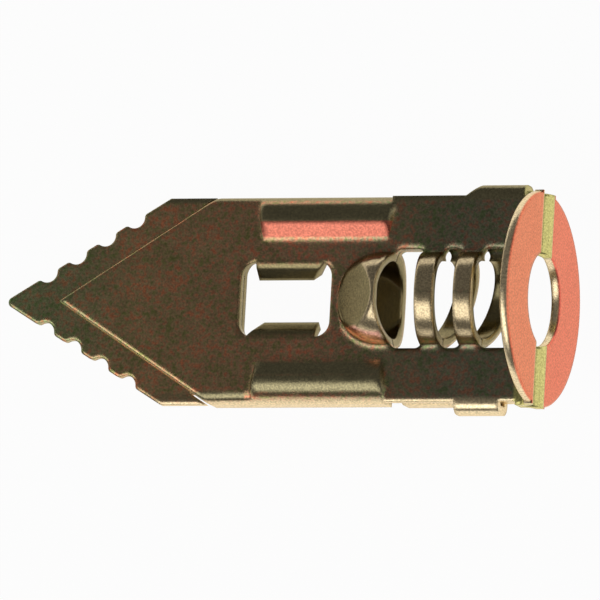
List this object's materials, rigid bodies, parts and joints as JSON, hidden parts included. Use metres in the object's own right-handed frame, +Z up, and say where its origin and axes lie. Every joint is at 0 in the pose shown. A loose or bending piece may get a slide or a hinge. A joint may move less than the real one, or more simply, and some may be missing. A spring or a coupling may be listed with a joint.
{
  "type": "hollow wall anchor",
  "caption": "Tap-in hollow wall anchor of folded sheet steel: round flange, slotted screw channel, window and toothed point.",
  "frame": {"origin": "centre of the screw hole at the flange's outer face", "axes": "+Z up as the anchor lies at rest on its flange's rim and its point; +X level, from the point towards the flange; the screw axis climbs from +X by the rest pitch of about 9.9 degrees"},
  "size_m": [0.032, 0.0128, 0.0117],
  "materials": {
    "plated_steel": "yellow-passivated zinc plating with a soft sheen and faint rainbow tints"
  },
  "bodies": {
    "root": {"front_leaf": "plated_steel", "back_leaf": "plated_steel"}
  },
  "joints": []
}
